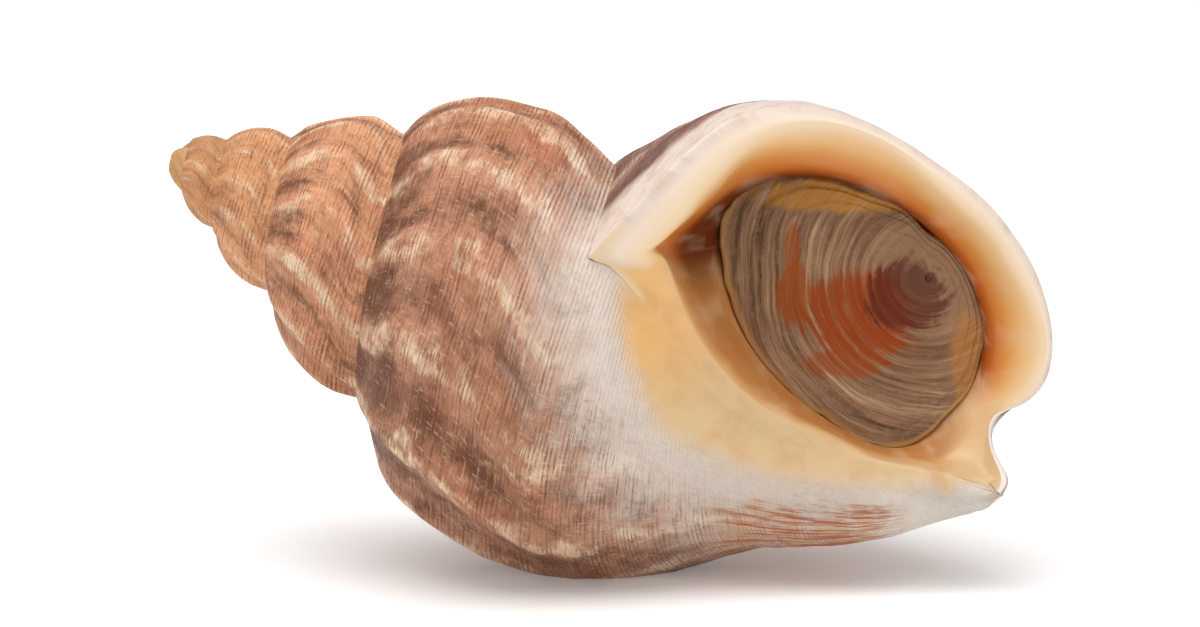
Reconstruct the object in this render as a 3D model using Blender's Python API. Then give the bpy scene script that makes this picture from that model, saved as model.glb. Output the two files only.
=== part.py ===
"""A common whelk shell lying on its side, with its operculum closing the aperture.

All outlines are drawn in tenths of a millimetre on a front view: x runs to the
right, y runs down and depth runs towards the front. The shell is one closed
body: a spiral grid of whorls that runs on over the lip into the hollow throat.
"""

import math

import bmesh
import bpy
import numpy as np

UNIT = 0.0001

# Growth spiral: the suture is a conical helix that widens by a fixed share a turn.
EXPANSION = 1.7364
SUTURE_RADIUS = 20.12
SUTURE_HEIGHT = 43.70
# How the suture leaves that helix near the lip, as radius and height at these turns.
LATE_TURNS = [-2.0, 3.4, 3.62, 3.87, 4.12, 4.31, 4.6]
LATE_SHIFTS = [(0, 0), (0, 0), (0, 0), (-10, 10), (-29, 30), (-28, 17), (-28, 17)]
ZERO_TURN = 0.12048
BODY_TURN = ZERO_TURN + 3 + 68 / 360
FIRST_TURN = BODY_TURN - 195 / 48
APEX_HEIGHT = 33.0
APEX_ROUNDING = 9.0

# Where the shell axis lies in the front view.
AXIS_START = (134.67, 141.07)
AXIS_SLOPE = math.radians(23.147)
AXIS_LEAN = math.radians(7.114)
VIEW_TILT = math.radians(12.0)

# Sculpture.
FOLDS = 12
FOLD_PHASE = 0.30
FOLD_SLANT = 0.10
FOLD_HEIGHT = 0.055
FOLD_MEAN = 0.45
# Where a fold rises and dies out, as shares of the whorl's profile, and as turns.
FOLD_TOP = (0.0, 0.16)
FOLD_FOOT = (0.45, 1.25)
FOLD_START = (0.3, 1.2)
FOLD_END = (3.45, 4.05)

# Grid density.
STEPS_PER_TURN = 48
# Places down the profile, where 0 is the suture, 7 the next suture and 20 the tip of the canal.
LEVELS = [
    0, 1, 2, 3, 3.5, 4, 4.5, 5, 5.5, 6, 6.5, 7, 7.5, 8, 8.5, 9, 9.5, 10, 10.5, 11, 12, 13, 14, 15, 16, 17, 18,
    19, 20,
]
SUTURE_LEVEL = 7
TIP_LEVEL = 20
SPIRE_STEPS = 195
# How far up the belly the flat face reaches, and how steeply the belly leaves it.
FOOT_DEPTH = 12.0
FOOT_SPREAD = 1.25

# Whorl profile from suture to suture as radius and height over the whorl's scale.
SPIRE_PROFILE = [(20.1, 43.7), (23.0, 46.0), (26.8, 49.8), (30.4, 54.2), (33.0, 59.5), (34.6, 65.0), (34.8, 70.5)]
BODY_PROFILE = [(20.1, 43.7), (23.8, 45.6), (26.8, 48.2), (29.3, 51.8), (31.3, 56.6), (32.7, 63.5), (32.9, 69.8)]

# Turns over which the first profile passes into the second.
PROFILE_CHANGE = (2.3, 3.2)

# Last whorl: angle in degrees, radius and height at five stations, from the
# suture down to the tip of the canal.
PARIETAL = [
    (68, 125, 271), (68, 147, 283), (68, 166, 299), (68, 182, 321), (68, 194, 351), (68, 203, 394), (68, 204, 433),
    (68, 190, 487), (66, 176, 518), (69, 152, 552), (77, 131, 583), (85, 113, 615), (93, 98, 648), (99, 87, 683),
    (103, 78, 720), (102, 69, 760), (99, 61, 800), (90, 53, 838), (80, 44, 873), (66, 36, 906),
]
LEFT_SIDE = [
    (180, 148, 322), (180, 165, 329), (180, 182, 345), (180, 203, 366), (180, 219, 392), (180, 232, 440),
    (180, 237, 496), (180, 223, 572), (180, 206, 611), (180, 183, 644), (180, 159, 675), (180, 138, 706),
    (180, 123, 738), (180, 111, 768), (180, 100, 795), (180, 88, 818), (180, 75, 841), (180, 57, 864),
    (180, 37, 890), (180, 15, 916),
]
BACK_SIDE = [
    (270, 160, 380), (270, 188, 389), (270, 202, 406), (270, 220, 432), (270, 238, 472), (270, 256, 532),
    (270, 266, 588), (270, 249, 664), (270, 228, 707), (270, 203, 745), (270, 177, 778), (270, 152, 808),
    (270, 128, 836), (270, 106, 860), (270, 88, 879), (270, 72, 894), (270, 57, 906), (270, 44, 915),
    (270, 31, 923), (270, 17, 932),
]
LIP_MARGIN = [
    (428.4, 190, 489), (421, 209, 500), (411, 229, 516), (401, 252, 530), (388, 291, 564), (379, 311, 622),
    (375.3, 314, 692), (374.5, 300, 778), (375, 286, 826), (376, 264, 867), (376.5, 240, 897), (377.5, 210, 922),
    (378.5, 180, 938), (380, 151, 944), (380, 127, 939), (380, 109, 927), (379, 95, 911), (380, 82, 907),
    (386, 66, 912), (402, 55, 929),
]
# Between back and lip the first places keep close to the whorl above.
UPPER_SIDE = [(164, 446), (184, 456), (202, 468), (224, 486), (249, 516), (271, 568), (280, 640)]
CANAL_TIP = (418, 47, 950)
STATION_TURNS = [BODY_TURN, ZERO_TURN + 3.5, ZERO_TURN + 3.75, ZERO_TURN + 3.97, BODY_TURN + 1]
# How the wall passes from the back to the lip half way between them.
BACK_ANGLE = 270.0
MARGIN_LAG = 12.0
MIDDLE_EASE = 1.6

# Aperture: four rings from the crest of the lip into the throat as x, y, depth.
RIM_CREST = [
    (640, 256, 233), (652, 243, 233), (680, 214, 232), (706, 182, 226), (757, 139, 206), (819, 126, 184),
    (885, 144, 176), (952, 197, 176), (990, 233, 177), (1011, 266, 178), (1027, 294, 177), (1038, 322, 174),
    (1041, 348, 170), (1033, 376, 164), (1022, 391, 156), (1009, 400, 148), (997, 411, 138), (990, 424, 130),
    (985, 440, 126), (984, 458, 130), (985, 470, 140), (965, 470, 142), (935, 466, 146), (905, 466, 149),
    (876, 462, 153), (846, 452, 160), (815, 440, 168), (784, 428, 178), (750, 408, 188), (718, 380, 199),
    (692, 347, 209), (671, 307, 219), (655, 265, 227),
]
INNER_EDGE = [
    (662, 245, 200), (676, 232, 203), (693, 219, 198), (714, 201, 190), (748, 172, 172), (812, 164, 150),
    (872, 182, 140), (925, 212, 136), (952, 238, 134), (972, 264, 133), (986, 292, 133), (993, 320, 132),
    (996, 346, 130), (992, 372, 128), (984, 392, 125), (975, 408, 120), (968, 421, 116), (962, 431, 113),
    (955, 439, 112), (948, 446, 114), (940, 453, 118), (930, 457, 124), (915, 458, 130), (897, 457, 136),
    (875, 453, 141), (850, 441, 148), (824, 427, 155), (797, 416, 163), (765, 398, 172), (735, 372, 183),
    (709, 339, 195), (689, 303, 204), (672, 265, 211),
]
WALL = [
    (682, 249, 138), (692, 238, 146), (704, 224, 150), (719, 206, 150), (752, 180, 128), (812, 171, 118),
    (874, 190, 114), (922, 222, 112), (944, 240, 111), (962, 262, 110), (976, 288, 110), (985, 318, 110),
    (987, 343, 110), (984, 366, 109), (976, 384, 108), (967, 398, 107), (958, 408, 106), (951, 416, 105),
    (944, 423, 105), (938, 430, 105), (930, 436, 106), (922, 441, 108), (911, 446, 110), (898, 449, 112),
    (880, 450, 114), (856, 440, 118), (832, 425, 124), (806, 409, 130), (777, 389, 136), (750, 364, 142),
    (726, 335, 148), (706, 302, 152), (692, 268, 148),
]
# The shelf behind the plate: how far outside its edge and how deep each ring of it lies.
SHELF = [(4.5, 109.0), (-9.0, 108.0)]
PLATE_LEVEL = 124.0
# How finely the plate's edge is sampled, and how far each place is drawn to the nearest sample.
EDGE_SAMPLES = 720
EDGE_REACH = 6
EDGE_START = 5
EDGE_PULL = 0.72
# Section of the throat as radius and height on the plane at THROAT_ANGLE.
THROAT_ANGLE = -25.0
THROAT = [
    (188, 500), (200, 503), (214, 508), (230, 520), (250, 548), (268, 605), (272, 665), (260, 722), (246, 757),
    (226, 790), (204, 817), (180, 838), (156, 852), (134, 860), (116, 862), (101, 860), (89, 855), (80, 848),
    (73, 840), (68, 832), (64, 823), (61, 813), (59, 802), (57, 790), (56, 775), (56, 755), (57, 730), (59, 702),
    (63, 672), (71, 640), (85, 608), (108, 572), (145, 530),
]
# Deeper sections of the throat as angle and how far each draws in.
DEEPER = [(-60.0, 1.0), (-90.0, 0.82), (-112.0, 0.48)]
THROAT_END = -120.0

# Operculum.
OPERCULUM_OUTLINE = [
    (725, 246), (725, 223), (731, 210), (744, 196), (767, 183), (796, 177), (831, 181), (861, 192), (901, 208),
    (926, 235), (945, 249), (964, 275), (977, 307), (981, 332), (978, 353), (968, 386), (943, 414), (930, 428),
    (909, 441), (880, 445), (863, 439), (832, 418), (805, 401), (780, 376), (759, 351), (742, 319), (731, 284),
]
OPERCULUM_NUCLEUS = (930, 278)
OPERCULUM_DEPTH = 119.0
OPERCULUM_THICKNESS = 7.0
OPERCULUM_EDGE = 4.2
OPERCULUM_MIDDLE = 860.0
OPERCULUM_LEAN = 0.02
NUCLEUS_DEPTH = 2.0
# Share of the way out from the nucleus and rise of the front face there.
OPERCULUM_STEPS = [
    (1.0, 0.0), (0.95, 3.0), (0.88, 2.0), (0.86, 4.5), (0.74, 3.0), (0.72, 4.5), (0.55, 2.5), (0.53, 4.0),
    (0.33, 1.5), (0.12, 0.0),
]


def smooth_step(low, high, value):
    share = np.clip((value - low) / (high - low), 0.0, 1.0)
    return share * share * (3.0 - 2.0 * share)


def spline(knots, values, wanted):
    """A smooth curve through the values, whose slopes follow the neighbouring knots."""
    knots = np.asarray(knots, float)
    values = np.asarray(values, float)
    gaps = np.diff(knots)
    rises = np.diff(values, axis=0) / gaps.reshape((-1,) + (1,) * (values.ndim - 1))
    slopes = np.empty_like(values)
    slopes[0] = rises[0]
    slopes[-1] = rises[-1]
    before = gaps[:-1].reshape((-1,) + (1,) * (values.ndim - 1))
    after = gaps[1:].reshape((-1,) + (1,) * (values.ndim - 1))
    slopes[1:-1] = (rises[:-1] * after + rises[1:] * before) / (before + after)
    wanted = np.asarray(wanted, float)
    place = np.clip(np.searchsorted(knots, wanted, side="right") - 1, 0, len(gaps) - 1)
    shape = wanted.shape + (1,) * (values.ndim - 1)
    gap = gaps[place].reshape(shape)
    share = ((wanted - knots[place]).reshape(shape)) / gap
    first = values[place]
    last = values[place + 1]
    return (
        (2 * share**3 - 3 * share**2 + 1) * first
        + (share**3 - 2 * share**2 + share) * gap * slopes[place]
        + (3 * share**2 - 2 * share**3) * last
        + (share**3 - share**2) * gap * slopes[place + 1]
    )


def front_view(angle, radius, height):
    """Front-view x, y and depth of points given round the shell axis."""
    side = radius * np.cos(angle)
    forward = radius * np.sin(angle)
    along = height * math.cos(AXIS_LEAN) - forward * math.sin(AXIS_LEAN)
    depth = height * math.sin(AXIS_LEAN) + forward * math.cos(AXIS_LEAN)
    x = AXIS_START[0] + along * math.cos(AXIS_SLOPE) + side * math.sin(AXIS_SLOPE)
    y = AXIS_START[1] + along * math.sin(AXIS_SLOPE) - side * math.cos(AXIS_SLOPE)
    return np.stack([x, y, depth], axis=-1)


def suture(turn):
    """Radius and height of the line where a whorl meets the one before."""
    scale = EXPANSION**turn
    height = SUTURE_HEIGHT * scale
    rounded = 0.5 * (height + APEX_HEIGHT + np.sqrt((height - APEX_HEIGHT) ** 2 + APEX_ROUNDING**2))
    radius = SUTURE_RADIUS * scale * smooth_step(FIRST_TURN - 0.1, FIRST_TURN + 1.0, turn)
    extra = spline(LATE_TURNS, LATE_SHIFTS, turn)
    return radius + extra[..., 0], rounded + extra[..., 1]


def whorl_profile(turn, levels):
    """Radius and height from the suture down to the next suture, one row of points a turn value."""
    blend = smooth_step(*PROFILE_CHANGE, turn)[:, None, None]
    shape = (1.0 - blend) * np.array(SPIRE_PROFILE) + blend * np.array(BODY_PROFILE)
    scale = (EXPANSION**turn)[:, None]
    radius = shape[..., 0] * scale
    height = shape[..., 1] * scale
    top_radius, top_height = suture(turn)
    next_radius, next_height = suture(turn + 1.0)
    fresh = smooth_step(FIRST_TURN, FIRST_TURN + 1.3, turn)[:, None]
    share = (height - height[:, :1]) / (next_height[:, None] - height[:, :1])
    dome_radius = top_radius[:, None] + (next_radius - top_radius)[:, None] * np.sqrt(np.clip(share, 0, 1))
    dome_height = top_height[:, None] + (next_height - top_height)[:, None] * share
    radius = fresh * radius + (1 - fresh) * dome_radius
    height = fresh * height + (1 - fresh) * dome_height
    radius[:, 0] = top_radius
    height[:, 0] = top_height
    radius = np.concatenate([radius, next_radius[:, None]], axis=1)
    height = np.concatenate([height, next_height[:, None]], axis=1)
    knots = np.arange(SUTURE_LEVEL + 1)
    wanted = np.array(levels)
    return spline(knots, radius.T, wanted).T, spline(knots, height.T, wanted).T


def fold_rise(turn, share):
    """How far the rounded folds along the axis lift the wall, as a share of the radius."""
    phase = turn * FOLDS - FOLD_PHASE + FOLD_SLANT * share
    wave = 0.5 + 0.5 * np.cos(2 * math.pi * phase)
    band = smooth_step(*FOLD_TOP, share) * (1.0 - smooth_step(*FOLD_FOOT, share))
    young = smooth_step(*FOLD_START, turn)
    old = 1.0 - smooth_step(*FOLD_END, turn)
    return FOLD_HEIGHT * (wave - FOLD_MEAN) * band * young * old


def turn_angle(turn):
    return 2 * math.pi * (turn - ZERO_TURN)


def body_stations():
    return [np.array(rows + [CANAL_TIP], float) for rows in (PARIETAL, LEFT_SIDE, BACK_SIDE, LIP_MARGIN)]


def last_whorl(turns, levels):
    """Angle, radius and height over the last whorl, one row of points a turn value."""
    stations = body_stations()
    left, back, margin = stations[1:]
    middle = np.empty_like(back)
    middle[:, 0] = 0.5 * (back[:, 0] + margin[:, 0])
    share = (middle[:, :1] - BACK_ANGLE) / (margin[:, :1] - BACK_ANGLE + MARGIN_LAG)
    middle[:, 1:] = back[:, 1:] + (margin[:, 1:] - back[:, 1:]) * share**MIDDLE_EASE
    middle[: len(UPPER_SIDE), 1:] = UPPER_SIDE
    values = np.stack([stations[0], left, back, middle, margin])
    values[:, -1] = CANAL_TIP
    fine = spline(np.arange(TIP_LEVEL + 1), np.swapaxes(values, 0, 1), np.array(levels))
    found = spline(STATION_TURNS, np.swapaxes(fine, 0, 1), turns)
    return np.radians(found[..., 0]), found[..., 1], found[..., 2]


def whorl_levels():
    return [level for level in LEVELS if level <= SUTURE_LEVEL]


def spire_points(turns, levels):
    radius, height = whorl_profile(turns, levels)
    share = profile_share(radius, height)
    radius = radius * (1 + fold_rise(turns[:, None], share))
    angle = turn_angle(turns)[:, None] + 0 * radius
    return front_view(angle, radius, height)


def body_points(turns, levels):
    angle, radius, height = last_whorl(turns, levels)
    upper = sum(level <= SUTURE_LEVEL for level in levels)
    share = profile_share(radius[:, :upper], height[:, :upper])
    radius[:, :upper] = radius[:, :upper] * (1 + fold_rise(turns[:, None], share))
    return front_view(angle, radius, height)


def profile_share(radius, height):
    """Length along the profile as a share of the suture-to-suture length."""
    steps = np.hypot(np.diff(radius, axis=1), np.diff(height, axis=1))
    along = np.concatenate([np.zeros((len(radius), 1)), np.cumsum(steps, axis=1)], axis=1)
    return along / along[:, -1:]


def throat_section(degrees, drawn_in):
    """The throat's outline on a plane through the axis, scaled back along the growth spiral."""
    section = np.array(THROAT, float) * EXPANSION ** ((degrees - THROAT_ANGLE) / 360)
    centre = section.mean(axis=0)
    section = centre + (section - centre) * drawn_in
    angle = np.full(len(section), math.radians(degrees))
    return front_view(angle, section[:, 0], section[:, 1])


def plate_edge(wall, outside, depth):
    """A ring level with the plate's edge, each of its points opposite one of the wall."""
    outline = np.array(OPERCULUM_OUTLINE, float)
    closed = np.vstack([outline, outline[:1]])
    along = np.concatenate([[0.0], np.cumsum(np.hypot(*np.diff(closed, axis=0).T))])
    places = np.linspace(0.0, along[-1], EDGE_SAMPLES + 1)[:-1]
    dense = np.column_stack([np.interp(places, along, closed[:, axis]) for axis in (0, 1)])
    ahead = np.roll(dense, -EDGE_REACH, axis=0) - np.roll(dense, EDGE_REACH, axis=0)
    outward = np.column_stack([ahead[:, 1], -ahead[:, 0]])
    outward /= np.linalg.norm(outward, axis=1)[:, None]
    apart = np.linalg.norm(dense[None] - wall[:, None, :2], axis=2)
    nearest = places[apart.argmin(axis=1)]
    nearest = np.unwrap(nearest - nearest[EDGE_START], period=along[-1]) + nearest[EDGE_START]
    even = nearest.mean() + along[-1] * (np.arange(len(wall)) - (len(wall) - 1) / 2) / len(wall)
    chosen = np.sort(EDGE_PULL * nearest + (1 - EDGE_PULL) * even) % along[-1]
    index = np.round(chosen / along[-1] * EDGE_SAMPLES).astype(int) % EDGE_SAMPLES
    ring = dense[index] + outward[index] * outside
    return np.column_stack([ring, np.full(len(ring), depth)])


def ring_levels():
    """Places round an aperture ring: over the lip to the tip, then back up the inner side."""
    inner = [2 * TIP_LEVEL - level for level in reversed(LEVELS) if SUTURE_LEVEL < level < TIP_LEVEL]
    return LEVELS + inner


def aperture_rings(levels):
    rings = [np.array(ring, float) for ring in (RIM_CREST, INNER_EDGE, WALL)]
    rings[2][:, 2] = np.maximum(rings[2][:, 2], PLATE_LEVEL)
    rings += [plate_edge(rings[2], outside, depth) for outside, depth in SHELF]
    rings.append(throat_section(THROAT_ANGLE, 1.0))
    rings += [throat_section(degrees, drawn_in) for degrees, drawn_in in DEEPER]
    count = len(RIM_CREST)
    around = np.arange(-3, count + 3)
    return [spline(around, ring[around % count], np.array(levels)) for ring in rings]


def to_world(points):
    """World metres from front-view units, before the shell is set down."""
    x = points[..., 0]
    up = -points[..., 1]
    depth = points[..., 2]
    back = up * math.sin(VIEW_TILT) - depth * math.cos(VIEW_TILT)
    high = up * math.cos(VIEW_TILT) + depth * math.sin(VIEW_TILT)
    return UNIT * np.stack([x, back, high], axis=-1)


def add_grid(points, grid):
    """Keeps a grid of points and gives the index of each."""
    start = len(points)
    points.extend(grid.reshape(-1, 3))
    return start + np.arange(grid.shape[0] * grid.shape[1]).reshape(grid.shape[:2])


def lay_whorls(points):
    """Keeps the points of all whorls. Gives a finder by step and row, and the edge round the mouth."""
    upper = whorl_levels()
    last_row = len(upper) - 1
    spire_turns = FIRST_TURN + np.arange(SPIRE_STEPS) / STEPS_PER_TURN
    body_turns = BODY_TURN + np.arange(STEPS_PER_TURN + 1) / STEPS_PER_TURN
    spire = add_grid(points, spire_points(spire_turns, upper)[:, :last_row])
    body = add_grid(points, body_points(body_turns, LEVELS))
    body[:, -1] = body[0, -1]
    body[0, last_row] = body[-1, 0]

    def at(step, row):
        if step >= SPIRE_STEPS:
            return body[step - SPIRE_STEPS, row]
        if row == last_row:
            return at(step + STEPS_PER_TURN, 0)
        return spire[step, row]

    return at, list(body[-1]) + list(body[0, -2:last_row:-1])


def whorl_faces(at):
    last_row = len(whorl_levels()) - 1
    tip_row = len(LEVELS) - 1
    faces = []
    for step in range(SPIRE_STEPS + STEPS_PER_TURN):
        for row in range(last_row if step < SPIRE_STEPS else tip_row):
            faces.append((at(step, row), at(step + 1, row), at(step + 1, row + 1), at(step, row + 1)))
    return faces


def apex_faces(at):
    """The top of the first whorl and its open start, closed from one point."""
    apex = at(0, 0)
    rim = [at(step, 0) for step in range(1, STEPS_PER_TURN + 1)]
    start = [at(0, row) for row in range(1, len(whorl_levels()))]
    faces = [(apex, two, one) for one, two in zip(rim[:-1], rim[1:])]
    return faces + [(apex, one, two) for one, two in zip(start[:-1], start[1:])]


def mouth_faces(points, edge):
    """Rings from the edge of the outside over the lip into the throat, closed at its deep end."""
    faces = []
    before = edge
    for ring in aperture_rings(ring_levels()):
        index = list(range(len(points), len(points) + len(ring)))
        points.extend(ring)
        for place in range(len(index)):
            following = (place + 1) % len(index)
            faces.append((before[place], index[place], index[following], before[following]))
        before = index
    faces += [(before[place], len(points), before[(place + 1) % len(before)]) for place in range(len(before))]
    points.append(throat_section(THROAT_END, 0.0)[0])
    return faces


def build_shell():
    points = []
    at, edge = lay_whorls(points)
    faces = whorl_faces(at) + apex_faces(at) + mouth_faces(points, edge)
    return np.array(points), faces


def make_object(name, points, faces):
    mesh = bpy.data.meshes.new(name)
    kept = []
    for face in faces:
        corners = [int(corner) for place, corner in enumerate(face) if corner != face[place - 1]]
        if len(corners) > 2:
            kept.append(corners)
    mesh.from_pydata([tuple(point) for point in points], [], kept)
    body = bmesh.new()
    body.from_mesh(mesh)
    loose = [vertex for vertex in body.verts if not vertex.link_faces]
    bmesh.ops.delete(body, geom=loose, context="VERTS")
    bmesh.ops.triangulate(body, faces=body.faces[:], quad_method="SHORT_EDGE")
    bmesh.ops.recalc_face_normals(body, faces=body.faces[:])
    body.to_mesh(mesh)
    body.free()
    mesh.update()
    made = bpy.data.objects.new(name, mesh)
    bpy.context.scene.collection.objects.link(made)
    return made


def operculum_rings():
    """Rings of the plate's front face from its edge in to the nucleus."""
    outline = np.array(OPERCULUM_OUTLINE, float)
    nucleus = np.array(OPERCULUM_NUCLEUS, float)
    rings = []
    for share, rise in OPERCULUM_STEPS:
        spot = nucleus + (outline - nucleus) * share
        depth = OPERCULUM_DEPTH + rise + OPERCULUM_LEAN * (OPERCULUM_MIDDLE - spot[:, 0])
        rings.append(np.column_stack([spot, depth]))
    return rings


def join_rings(faces, first, second, count):
    for place in range(count):
        following = (place + 1) % count
        faces.append((first + place, first + following, second + following, second + place))


def build_operculum():
    rings = operculum_rings()
    count = len(rings[0])
    middle = np.array([*OPERCULUM_NUCLEUS, OPERCULUM_DEPTH - NUCLEUS_DEPTH])
    points = [point for ring in rings for point in ring]
    faces = []
    for level in range(len(rings) - 1):
        join_rings(faces, level * count, (level + 1) * count, count)
    last = (len(rings) - 1) * count
    faces += [(last + place, last + (place + 1) % count, len(points)) for place in range(count)]
    points.append(middle)
    edge = len(points)
    points.extend(rings[0] - np.array([0, 0, OPERCULUM_EDGE]))
    join_rings(faces, edge, 0, count)
    inside = len(points)
    points.extend(rings[1] - np.array([0, 0, OPERCULUM_THICKNESS + OPERCULUM_STEPS[1][1]]))
    join_rings(faces, inside, edge, count)
    faces += [(inside + (place + 1) % count, inside + place, len(points)) for place in range(count)]
    points.append(middle - np.array([0, 0, OPERCULUM_THICKNESS]))
    return np.array(points), faces


def coat(made, name, colour, roughness):
    material = bpy.data.materials.new(name)
    material.use_nodes = True
    surface = material.node_tree.nodes["Principled BSDF"]
    surface.inputs["Base Color"].default_value = (*colour, 1.0)
    surface.inputs["Roughness"].default_value = roughness
    made.data.materials.append(material)


def set_down(points):
    """The lowest part of the belly pressed into a flat face that the shell rests on."""
    above = points[:, 2]
    depth = FOOT_DEPTH * UNIT
    points[:, 2] = np.maximum(0.0, np.minimum(above - depth / 2, FOOT_SPREAD * (above - depth)))
    return points


def main():
    for old in list(bpy.data.objects):
        bpy.data.objects.remove(old, do_unlink=True)
    shell_outline, shell_faces = build_shell()
    plate_outline, plate_faces = build_operculum()
    shell_points = to_world(shell_outline)
    low = shell_points.min(axis=0)
    high = shell_points.max(axis=0)
    shift = np.array([-(low[0] + high[0]) / 2, -(low[1] + high[1]) / 2, -low[2]])
    plate_shift = shift - np.array([0, 0, FOOT_DEPTH * UNIT / 2])
    shell = make_object("shell", set_down(shell_points + shift), shell_faces)
    plate = make_object("operculum", to_world(plate_outline) + plate_shift, plate_faces)
    for polygon in shell.data.polygons:
        polygon.use_smooth = True
    coat(shell, "shell_lime", (0.50, 0.36, 0.25), 0.45)
    coat(plate, "horny_plate", (0.22, 0.15, 0.09), 0.55)


main()
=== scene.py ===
"""A whelk shell with its horny plate, on a plain white floor."""

import math

import bpy
import numpy as np
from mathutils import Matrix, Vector


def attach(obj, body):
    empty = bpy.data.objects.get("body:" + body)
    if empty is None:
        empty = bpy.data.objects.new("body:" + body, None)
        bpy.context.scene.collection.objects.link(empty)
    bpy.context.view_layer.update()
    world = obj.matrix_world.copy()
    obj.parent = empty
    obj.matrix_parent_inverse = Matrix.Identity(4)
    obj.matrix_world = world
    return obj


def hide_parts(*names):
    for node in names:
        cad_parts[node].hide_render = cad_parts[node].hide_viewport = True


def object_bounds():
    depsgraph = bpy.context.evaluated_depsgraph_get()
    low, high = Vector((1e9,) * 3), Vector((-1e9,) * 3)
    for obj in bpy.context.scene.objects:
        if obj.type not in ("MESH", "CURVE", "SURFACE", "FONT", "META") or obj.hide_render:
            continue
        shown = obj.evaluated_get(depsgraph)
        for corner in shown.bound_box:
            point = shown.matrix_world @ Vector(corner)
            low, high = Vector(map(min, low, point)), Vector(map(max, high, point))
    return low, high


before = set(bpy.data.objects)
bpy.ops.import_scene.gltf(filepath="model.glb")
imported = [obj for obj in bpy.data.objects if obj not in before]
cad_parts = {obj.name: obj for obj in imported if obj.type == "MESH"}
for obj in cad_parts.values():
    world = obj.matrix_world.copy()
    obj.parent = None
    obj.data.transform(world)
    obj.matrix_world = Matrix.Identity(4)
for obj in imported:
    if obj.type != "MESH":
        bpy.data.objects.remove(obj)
SOLID_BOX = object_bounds()

# Front-view drawing units: a tenth of a millimetre, x to the right, y down, depth to the front.
UNIT = 0.0001

# Growth spiral: the suture is a conical helix that widens by a fixed share a turn.
EXPANSION = 1.7364
SUTURE_RADIUS = 20.12
SUTURE_HEIGHT = 43.70
# How the suture leaves that helix near the lip, as radius and height at these turns.
LATE_TURNS = [-2.0, 3.4, 3.62, 3.87, 4.12, 4.31, 4.6]
LATE_SHIFTS = [(0, 0), (0, 0), (0, 0), (-10, 10), (-29, 30), (-28, 17), (-28, 17)]
ZERO_TURN = 0.12048
BODY_TURN = ZERO_TURN + 3 + 68 / 360
FIRST_TURN = BODY_TURN - 195 / 48
APEX_HEIGHT = 33.0
APEX_ROUNDING = 9.0

# Where the shell axis lies in the front view.
AXIS_START = (134.67, 141.07)
AXIS_SLOPE = math.radians(23.147)
AXIS_LEAN = math.radians(7.114)
VIEW_TILT = math.radians(12.0)

# Rounded folds along the axis: how many a turn, where their crests lie, how high and how sharp.
FOLDS = 12
FOLD_PHASE = 0.30
FOLD_SLANT = 0.10
FOLD_HEIGHT = 0.082
FOLD_MEAN = 0.36
FOLD_BOW = 0.03
FOLD_PEAK = 0.4
FOLD_SHARPNESS = 1.5
# Where a fold rises and dies out, as shares of the whorl's profile, and as turns.
FOLD_TOP = (0.0, 0.16)
FOLD_FOOT = (0.45, 1.25)
FOLD_START = (0.3, 1.2)
FOLD_END = (3.45, 4.05)

SUTURE_LEVEL = 7
TIP_LEVEL = 20
# How far up the belly the flat face reaches, and how steeply the belly leaves it.
FOOT_DEPTH = 12.0
FOOT_SPREAD = 1.25

# Whorl profile from suture to suture as radius and height over the whorl's scale.
SPIRE_PROFILE = [
    (20.1, 43.7), (23.0, 46.0), (26.8, 49.8), (30.4, 54.2), (33.0, 59.5), (34.6, 65.0), (34.8, 70.5),
]
BODY_PROFILE = [
    (20.1, 43.7), (23.8, 45.6), (26.8, 48.2), (29.3, 51.8), (31.3, 56.6), (32.7, 63.5), (32.9, 69.8),
]

# Turns over which the first profile passes into the second.
PROFILE_CHANGE = (2.3, 3.2)

# Last whorl: angle in degrees, radius and height at its stations, from the suture down to the
# tip of the canal. The left and the back station keep one angle and hold radius and height.
PARIETAL = [
    (68, 125, 271), (68, 147, 283), (68, 166, 299), (68, 182, 321), (68, 194, 351), (68, 203, 394),
    (68, 204, 433), (68, 190, 487), (66, 176, 518), (69, 152, 552), (77, 131, 583), (85, 113, 615),
    (93, 98, 648), (99, 87, 683), (103, 78, 720), (102, 69, 760), (99, 61, 800), (90, 53, 838),
    (80, 44, 873), (66, 36, 906),
]
LEFT_SIDE = [
    (148, 322), (165, 329), (182, 345), (203, 366), (219, 392), (232, 440), (237, 496), (223, 572),
    (206, 611), (183, 644), (159, 675), (138, 706), (123, 738), (111, 768), (100, 795), (88, 818),
    (75, 841), (57, 864), (37, 890), (15, 916),
]
BACK_SIDE = [
    (160, 380), (188, 389), (202, 406), (220, 432), (238, 472), (256, 532), (266, 588), (249, 664),
    (228, 707), (203, 745), (177, 778), (152, 808), (128, 836), (106, 860), (88, 879), (72, 894), (57, 906),
    (44, 915), (31, 923), (17, 932),
]
LIP_MARGIN = [
    (428.4, 190, 489), (421, 209, 500), (411, 229, 516), (401, 252, 530), (388, 291, 564), (379, 311, 622),
    (375.3, 314, 692), (374.5, 300, 778), (375, 286, 826), (376, 264, 867), (376.5, 240, 897),
    (377.5, 210, 922), (378.5, 180, 938), (380, 151, 944), (380, 127, 939), (380, 109, 927), (379, 95, 911),
    (380, 82, 907), (386, 66, 912), (402, 55, 929),
]
# Between back and lip the first places keep close to the whorl above.
UPPER_SIDE = [(164, 446), (184, 456), (202, 468), (224, 486), (249, 516), (271, 568), (280, 640)]
CANAL_TIP = (418, 47, 950)
STATION_TURNS = [BODY_TURN, ZERO_TURN + 3.5, ZERO_TURN + 3.75, ZERO_TURN + 3.97, BODY_TURN + 1]
# The angles of the left and the back station, and how the wall passes from the back to the lip.
LEFT_ANGLE = 180.0
BACK_ANGLE = 270.0
MARGIN_LAG = 12.0
MIDDLE_EASE = 1.6

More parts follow.
